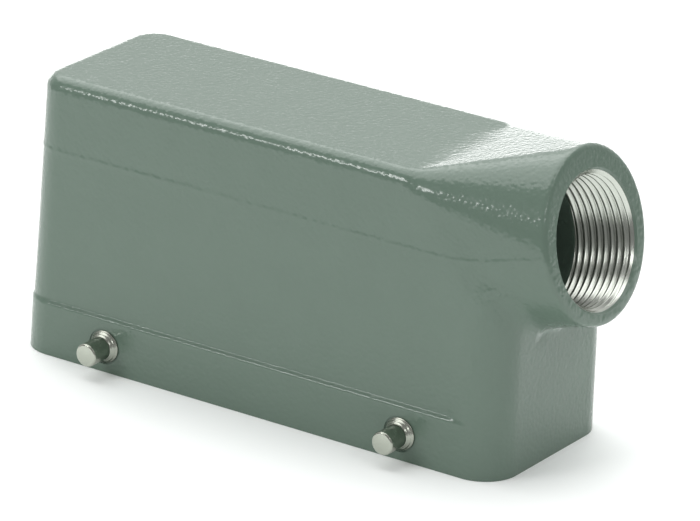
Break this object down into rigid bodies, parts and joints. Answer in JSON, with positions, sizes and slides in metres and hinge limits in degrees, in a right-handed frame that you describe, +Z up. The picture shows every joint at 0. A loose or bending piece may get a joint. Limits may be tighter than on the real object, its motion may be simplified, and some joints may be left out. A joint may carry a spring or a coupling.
{
  "type": "heavy duty rectangular connector hood",
  "caption": "Long die-cast connector hood, open below, with an inclined threaded cable entry at one end and round locking pegs on its long sides.",
  "frame": {"origin": "centre of the open rim, in the plane that the rim stands on", "axes": "+X along the length towards the cable entry, +Y towards the rear long wall, +Z up towards the roof"},
  "size_m": [0.132, 0.056, 0.0674],
  "materials": {
    "hood_coat": "grey-green powder coat with a fine leather texture on die-cast aluminium",
    "peg_steel": "turned stainless steel",
    "bare_thread": "cut thread left bare inside the cable entry"
  },
  "bodies": {
    "root": {"hood_shell": "hood_coat", "locking_peg_front_left": "peg_steel", "locking_peg_front_right": "peg_steel", "locking_peg_rear_left": "peg_steel", "locking_peg_rear_right": "peg_steel"}
  },
  "joints": []
}
